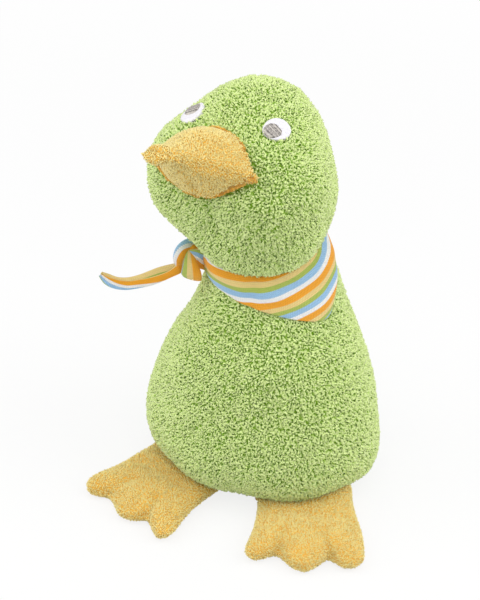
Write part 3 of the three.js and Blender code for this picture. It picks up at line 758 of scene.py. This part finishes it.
def add_tube(form, route, breadths, depths, facings, steps, rounds, note):
    """A closed tube along a route. Its broad side faces the way given, and note(vertex,
    share, side) marks each point, with a side from -1 to 1 across the breadth."""
    points = bmesh.ops.create_grid(form, x_segments=steps, y_segments=rounds, size=0.5)["verts"]
    for point in points:
        share, turn = point.co.x + 0.5, (point.co.y + 0.5) * 2 * math.pi
        ahead = at_share(route, min(share + 0.01, 1)) - at_share(route, max(share - 0.01, 0))
        ahead.normalize()
        out = at_share(facings, share)
        out = (out - ahead * out.dot(ahead)).normalized()
        side = math.cos(turn)
        note(point, share, side)
        point.co = (at_share(route, share) + ahead.cross(out) * (at_share(breadths, share) / 2 * side)
                    + out * (at_share(depths, share) / 2 * math.sin(turn)))
    bmesh.ops.remove_doubles(form, verts=points, dist=1e-6)
    open_edges = [edge for edge in form.edges if edge.is_boundary]
    bmesh.ops.holes_fill(form, edges=open_edges, sides=0)


def satin_thread(name, shades):
    """Embroidery thread: smooth and a little lustrous, each strand its own shade."""
    material, tree = new_material(name)
    tint = add_node(tree, "ShaderNodeAttribute", attribute_name="tint")
    place = add_node(tree, "ShaderNodeTexCoord")
    # flecks of about 0.8 mm
    flecks = add_node(tree, "ShaderNodeTexNoise", inputs={"Scale": 1200, "Detail": 2},
                      links={"Vector": place.outputs["Object"]})
    level = add_node(tree, "ShaderNodeMath", operation="MULTIPLY_ADD", inputs={1: 0.5},
                     links={0: tint.outputs["Fac"], 2: flecks.outputs["Fac"]})
    dye = add_node(tree, "ShaderNodeValToRGB", links={0: level.outputs[0]})
    set_stops(dye, zip((0.5, 1.0), shades))
    relief = add_node(tree, "ShaderNodeBump", inputs={"Strength": 0.3, "Distance": 0.0001},
                      links={"Height": flecks.outputs["Fac"]})
    thread = add_node(tree, "ShaderNodeBsdfPrincipled", inputs={"Roughness": 0.42, "Sheen Weight": 0.2},
                      links={"Base Color": dye.outputs[0], "Normal": relief.outputs[0]})
    add_node(tree, "ShaderNodeOutputMaterial", links={"Surface": thread.outputs[0]})
    return material


def satin_oval(node, eye, length, height, shift, rise, dive, pitch, material):
    """Threads side by side across an oval, which rise over the padding and dive at both ends."""
    middle, forward, across = eye_frames[eye]
    form = bmesh.new()
    tint = form.verts.layers.float.new("tint")
    count = round(length / pitch)

    def note(point, share, side):
        point[tint] = shade

    for number in range(count):
        offset = ((number + 0.5) / count - 0.5) * length
        half = height / 2 * math.sqrt(1 - (offset / (length / 2)) ** 2) + 0.0001
        crown = 1 - 0.35 * (offset / (length / 2)) ** 4
        route = []
        for share in (-1.0, -0.93, -0.6, 0, 0.6, 0.93, 1.0):
            way = head_axes @ (middle + forward * (shift + offset) + across * (half * share)).normalized()
            reach = head_surface.ray_cast(head_centre, way)[3]
            route.append(head_centre + way * (reach + (rise * crown if abs(share) < 0.99 else dive)))
        shade = noise.noise(Vector((number * 7.31, 2.7, 0.4))) + 0.5
        facings = [head_axes @ middle] * len(route)
        sizes = [pitch * 1.7] * len(route)
        add_tube(form, route, sizes, sizes, facings, 14, 6, note)
    bmesh.ops.recalc_face_normals(form, faces=form.faces)
    cloth_piece(f"{node}_stitches", form, "head", [node], material)


white_satin = satin_thread("white rayon embroidery thread", ("e9e6ee", "f8f6fa"))
grey_satin = satin_thread("mottled grey rayon embroidery thread", ("5e5856", "d8d1c8"))
pupil_length, pupil_height = 0.0092, 0.0082
for eye, shift in (("left", 0.0031), ("right", -0.0018)):
    satin_oval(f"eye_white_{eye}", eye, eye_length, eye_height, 0, rise=0.0019, dive=0.0002,
               pitch=0.00042, material=white_satin)
    satin_oval(f"pupil_{eye}", eye, pupil_length, pupil_height, shift, rise=0.0025, dive=0.0014,
               pitch=0.0005, material=grey_satin)


# Neckerchief
# A triangle of striped cotton jersey, folded to a band with its corner on the chest and
# knotted at the duck's right. The stripes are knitted in and run along the folds.
stripes = (("ffae2c", 3.7), ("f8da90", 2.8), ("b6c85e", 2.4), ("a2ccf0", 3.3), ("fdfcfb", 2.4))
stripe_repeat = sum(width for shade, width in stripes)
jersey, tree = new_material("striped cotton jersey")
place = add_node(tree, "ShaderNodeAttribute", attribute_name="cloth")
cloth = add_node(tree, "ShaderNodeSeparateXYZ", links={0: place.outputs["Vector"]})
# the wales are 1 mm apart, drawn a little coarse to show, and their stitches are chevrons
wale = add_node(tree, "ShaderNodeMath", operation="PINGPONG", inputs={1: 0.5}, links={0: cloth.outputs["X"]})
ragged = add_node(tree, "ShaderNodeMath", operation="MULTIPLY_ADD", inputs={1: 0.7},
                  links={0: wale.outputs[0], 2: cloth.outputs["Y"]})
repeat = add_node(tree, "ShaderNodeMath", operation="DIVIDE", inputs={1: stripe_repeat},
                  links={0: ragged.outputs[0]})
share = add_node(tree, "ShaderNodeMath", operation="FRACT", links={0: repeat.outputs[0]})
dyed = add_node(tree, "ShaderNodeValToRGB", links={0: share.outputs[0]})
dyed.color_ramp.interpolation = "CONSTANT"
start = 0
for number, (shade, width) in enumerate(stripes):
    stop = dyed.color_ramp.elements[0] if number == 0 else dyed.color_ramp.elements.new(start / stripe_repeat)
    stop.color = paint(shade)
    start += width
dyed.color_ramp.elements.remove(dyed.color_ramp.elements[-1])
# dye takes a little unevenly, in patches of about 8 mm
body_place = add_node(tree, "ShaderNodeTexCoord")
patches = add_node(tree, "ShaderNodeTexNoise", inputs={"Scale": 120, "Detail": 3},
                   links={"Vector": body_place.outputs["Object"]})
worn = add_node(tree, "ShaderNodeMapRange", inputs={3: 0.95, 4: 1.05}, links={0: patches.outputs["Fac"]})
course = add_node(tree, "ShaderNodeMath", operation="MULTIPLY_ADD", inputs={1: 1.2},
                  links={0: wale.outputs[0], 2: cloth.outputs["Y"]})
turns = add_node(tree, "ShaderNodeMath", operation="MULTIPLY", inputs={1: 2 * math.pi / 0.9},
                 links={0: course.outputs[0]})
stitch = add_node(tree, "ShaderNodeMath", operation="SINE", links={0: turns.outputs[0]})
rib = add_node(tree, "ShaderNodeMath", operation="MULTIPLY_ADD", inputs={1: 3.0},
               links={0: wale.outputs[0], 2: stitch.outputs[0]})
# painted shade in the furrows between the wales and painted light on their crests
painted_rib_shading = add_node(tree, "ShaderNodeMapRange", inputs={1: -0.6, 2: 2.2, 3: 0.84, 4: 1.16},
                  links={0: rib.outputs[0]})
# the uneven dye together with the painted shade and light of the wales
patchy_dye_and_rib_shading = add_node(tree, "ShaderNodeMath", operation="MULTIPLY",
                 links={0: worn.outputs[0], 1: painted_rib_shading.outputs[0]})
shaded = add_node(tree, "ShaderNodeVectorMath", operation="SCALE",
                  links={0: dyed.outputs[0], "Scale": patchy_dye_and_rib_shading.outputs[0]})
relief = add_node(tree, "ShaderNodeBump", inputs={"Strength": 0.6, "Distance": 0.0003},
                  links={"Height": rib.outputs[0]})
knit = add_node(tree, "ShaderNodeBsdfPrincipled",
                inputs={"Roughness": 0.8, "Specular IOR Level": 0.3, "Sheen Weight": 0.15},
                links={"Base Color": shaded.outputs[0], "Normal": relief.outputs[0]})
add_node(tree, "ShaderNodeOutputMaterial", links={"Surface": knit.outputs[0]})

# The band's lower and upper edges, in millimetres above the floor, and how far its stripes
# have slid under the upper edge, at angles round the neck from the duck's left.
lower_edge = (
    (-156, 143), (-145, 138.5), (-128, 137.6), (-111, 137.2), (-101, 135.6), (-91, 134.3),
    (-79, 133.1), (-67, 131.2), (-54, 128.7), (-46, 127.3), (-38, 125.6), (-30, 124.7),
    (-24, 124.6), (-19, 125.6), (-15, 129.5), (-11, 134.5), (-5, 139.5), (2.5, 143), (17, 145),
    (60, 144.5), (110, 142), (160, 139), (190, 140.5), (204, 143),
)
upper_edge = (
    (-156, 152), (-145, 153.5), (-128, 152.8), (-115, 151.3), (-103, 150.6), (-91, 150.6),
    (-79, 151.2), (-61, 153.4), (-48, 155), (-33, 157.4), (-15, 162), (0, 164), (20, 164),
    (60, 163), (110, 160), (160, 157), (190, 154), (204, 152),
)
stripe_slide = (
    (-156, -4), (-145, -2.6), (-128, -1.6), (-115, -0.6), (-100, 0.2), (-78, 1), (-60, 2.4),
    (-50, 3.2), (-40, 4), (-28, 4.2), (-20, 5), (-15, 6.6), (-5, 9.3), (5, 10.7), (204, 10.7),
)
knot_angle = -156
neck_radius = 39
cloth_thickness = 0.0011
# how far the cloth stays from the ground of the body and of the head, in their loops
off_body, off_head = 0.0023, 0.0017
body_surface = BVHTree.FromBMesh(body_form)


def reach_of(surface, angle, height):
    """How far a form reaches from the neck's axis, in metres."""
    away = Vector((math.cos(angle), math.sin(angle), 0))
    hit = surface.ray_cast(away * 0.1 + Vector((0, 0, height)), -away, 0.1)[0]
    return hit.xy.length if hit else 0


def jersey_piece(node, form, body):
    bmesh.ops.recalc_face_normals(form, faces=form.faces)
    return cloth_piece(f"{node}_cloth", form, body, [node], jersey)


band = bmesh.new()
cloth_layer = band.verts.layers.float_vector.new("cloth")
points = bmesh.ops.create_grid(band, x_segments=200, y_segments=22, size=0.5)["verts"]
for point in points:
    degrees = knot_angle + 360 * (point.co.x + 0.5)
    angle, share = math.radians(degrees), point.co.y + 0.5
    low, high = eased(lower_edge, degrees, 5) / 1000, eased(upper_edge, degrees, 5) / 1000
    height = low + (high - low) * share
    foot = reach_of(body_surface, angle, low) + off_body
    brim = max(reach_of(head_surface, angle, high), reach_of(body_surface, angle, high)) + off_head
    between = 4 * share * (1 - share)
    # the cloth stands off the neck most at the duck's left, where it is pulled down to the corner
    slack = 0.0016 + 0.0030 * math.exp(-((degrees + 4) / 20) ** 2)
    reach = max(
        foot + (brim - foot) * share + slack * between,
        reach_of(body_surface, angle, height) + off_body,
        reach_of(head_surface, angle, height) + off_head,
    )
    ripple = 0.0004 * math.sin(share * 11 + degrees * 0.05)
    ripple += 0.0005 * noise.noise(Vector((degrees * 0.05, share * 2, 3)))
    reach += ripple * between
    down = (high - low) * (1 - share) * 1000
    point[cloth_layer] = (angle * neck_radius, down + eased(stripe_slide, degrees, 5), 0)
    point.co = Vector((reach * math.cos(angle), reach * math.sin(angle), height))
smooth(band, [point for point in band.verts if not point.is_boundary])
band_sheet = jersey_piece("neckerchief_band", band, "neckerchief")
hem = band_sheet.modifiers.new("folded thickness", "SOLIDIFY")
hem.thickness = cloth_thickness
hem.offset = 0
rounding = band_sheet.modifiers.new("soft edge", "SUBSURF")
rounding.levels = rounding.render_levels = 1


def folded_strip(form, route, breadths, depths, facings, stripe_middle, stripe_half):
    """A folded strip of the jersey along a route in millimetres, its stripes lengthwise."""
    steps, rounds = 48, 20
    layer = form.verts.layers.float_vector.get("cloth") or form.verts.layers.float_vector.new("cloth")
    route = [Vector(place) / 1000 for place in route]
    length = sum((b - a).length for a, b in zip(route, route[1:])) * 1000

    def note(point, share, side):
        across = at_share(stripe_middle, share) + at_share(stripe_half, share) * side
        point[layer] = (share * length, across, 0)

    add_tube(form, route, [size / 1000 for size in breadths], [size / 1000 for size in depths],
             [Vector(way) for way in facings], steps, rounds, note)


knot = bmesh.new()
front = (0.25, -0.81, 0.53)
# the turn that passes over the knot
folded_strip(
    knot,
    route=((-38.8, -9.8, 147.2), (-40.2, -15.3, 150.8), (-42.8, -20.7, 153.1), (-45.0, -25.6, 152.3),
           (-45.8, -28.1, 148.7), (-45.6, -27.4, 144.2), (-44.6, -24.0, 139.9)),
    breadths=(6, 8, 8.8, 8.4, 7.8, 6.8, 5),
    depths=(4, 5, 5.5, 5.5, 5, 4.5, 3),
    facings=((0.3, -0.8, 0.2), (0.3, -0.9, 0.1), (0.45, -0.8, 0.3), (0.45, -0.8, 0.4),
             (0.3, -0.85, 0.4), (0.1, -0.9, 0.2), (0, -0.8, -0.2)),
    stripe_middle=(13, 13.2, 13.6, 14.8, 16, 16.8, 17.4),
    stripe_half=(-4.3,) * 7,
)
# the fold that hangs down in front
folded_strip(
    knot,
    route=((-42.7, -15.0, 148.7), (-41.7, -23.8, 151.6), (-39.6, -29.0, 150.3), (-38.0, -31.8, 147.1),
           (-37.5, -31.4, 141.9), (-38.8, -26.7, 136.5)),
    breadths=(4, 3.5, 6, 9, 11.5, 11),
    depths=(3, 3, 3.5, 3.5, 3.5, 2.5),
    facings=((0.1, -0.6, 0.8), (0.2, -0.8, 0.5), front, front, (0.2, -0.9, 0.1), (0.1, -0.9, -0.3)),
    stripe_middle=(4.5,) * 6,
    stripe_half=(4.5,) * 6,
)
# the end of the band, pinched where it goes in
folded_strip(
    knot,
    route=((-44.0, -21.3, 147.2), (-41.1, -25.2, 151.2), (-38.3, -26.4, 151.8), (-35.4, -26.1, 150.8),
           (-33.3, -23.6, 148.1), (-31.4, -19.1, 144.6)),
    breadths=(3, 3.5, 6.5, 9.5, 11, 10),
    depths=(2.5, 3, 3.2, 3, 2.6, 2),
    facings=(front,) * 6,
    stripe_middle=(11.2,) * 6,
    stripe_half=(6.6,) * 6,
)
# the turns close round a round middle
core = bmesh.ops.create_uvsphere(knot, u_segments=24, v_segments=14, radius=0.0075)["verts"]
for point in core:
    point.co += Vector((-0.0420, -0.0205, 0.1475))
knot_cloth = jersey_piece("neckerchief_knot", knot, "neckerchief")

long_tail = bmesh.new()
tail_facing = ((0.2, -0.85, 0.45),) * 10
# the back of the fold
folded_strip(
    long_tail,
    route=((-43.3, -24.0, 143.5), (-46.8, -28.6, 142.6), (-50.9, -31.9, 141.5), (-55.0, -34.8, 140.6),
           (-59.0, -37.6, 139.2), (-64.0, -40.8, 137.3), (-69.8, -44.0, 135.9), (-75.6, -46.2, 136.2),
           (-80.5, -47.6, 138.2), (-84.0, -48.6, 140.3)),
    breadths=(4, 5, 5.8, 5.6, 5.2, 4.8, 4.6, 4, 3.4, 1.6),
    depths=(1.6, 1.8, 2, 2, 2, 2, 1.8, 1.6, 1.4, 1),
    facings=tail_facing,
    stripe_middle=(6,) * 10,
    stripe_half=(-2.2,) * 10,
)
# its front, which turns over towards the tip
folded_strip(
    long_tail,
    route=((-43.0, -25.5, 143.6), (-45.6, -30.2, 142.4), (-49.2, -33.6, 140.2), (-53.5, -36.8, 138.2),
           (-58.4, -39.8, 136.5), (-63.8, -42.8, 135.2), (-69.9, -46.0, 134.2), (-75.6, -48.2, 134.8),
           (-80.3, -49.2, 136.4), (-84.3, -49.6, 139.4)),
    breadths=(3.2, 5, 4, 4.2, 4.8, 4.8, 4.8, 5, 4.4, 2),
    depths=(1.8, 2, 2, 2, 2, 2, 2, 1.8, 1.6, 1),
    facings=tail_facing,
    stripe_middle=(2, 2, 2, 1.8, 1.2, 0.4, -0.4, -1.6, -2.6, -3.2),
    stripe_half=(2, 2, 2, 2.2, 3, 3.6, 4, 4, 4, 4),
)
tail_cloth = jersey_piece("neckerchief_long_tail", long_tail, "long_tail")

# it lies along the neck behind the knot and droops towards its end
short_tail = bmesh.new()
turns = [math.radians(-155 - 48 * number / 5) for number in range(6)]
folded_strip(
    short_tail,
    route=[(47.5 * math.cos(turn), 47.5 * math.sin(turn), 149 - 12 * (number / 5) ** 2)
           for number, turn in enumerate(turns)],
    breadths=(6, 8, 9, 8.5, 7, 3),
    depths=(2, 2.2, 2.2, 2, 1.8, 1.2),
    facings=[(math.cos(turn), math.sin(turn), 0.3) for turn in turns],
    stripe_middle=(9, 9, 8, 7, 6, 5),
    stripe_half=(7,) * 6,
)
end_cloth = jersey_piece("neckerchief_short_tail", short_tail, "short_tail")
